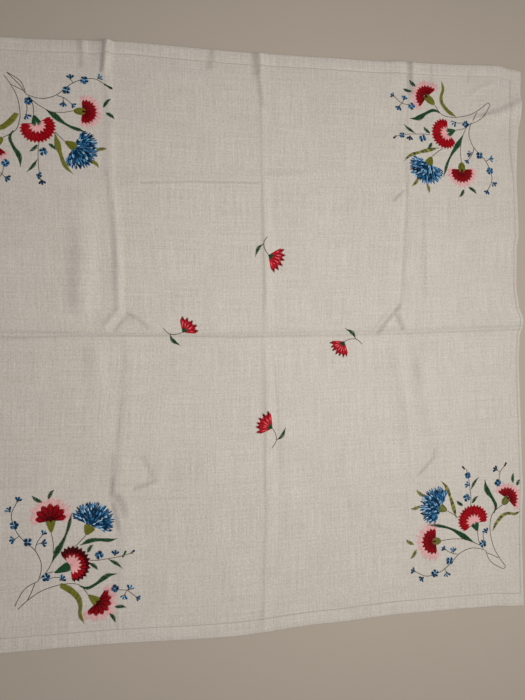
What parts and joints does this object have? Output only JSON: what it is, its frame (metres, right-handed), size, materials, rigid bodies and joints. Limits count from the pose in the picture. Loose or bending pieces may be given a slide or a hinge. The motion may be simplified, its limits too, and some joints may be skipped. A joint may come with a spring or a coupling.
{
  "type": "embroidered linen tablecloth",
  "caption": "Square woven linen tablecloth laid flat, with a hemstitched hem, soft fold creases, a floral spray stitched in each corner and sprigs round the middle.",
  "frame": {"origin": "on the resting surface, under the middle of the cloth's outline", "axes": "+Z is the cloth's face, +X is right and +Y is up as the cloth is seen from above"},
  "size_m": [0.855, 0.8596, 0.0061],
  "materials": {
    "linen": "plain-woven natural linen, matt",
    "cotton_floss": "stranded cotton embroidery floss, soft sheen"
  },
  "bodies": {
    "root": {"cloth": "linen"}
  },
  "joints": []
}
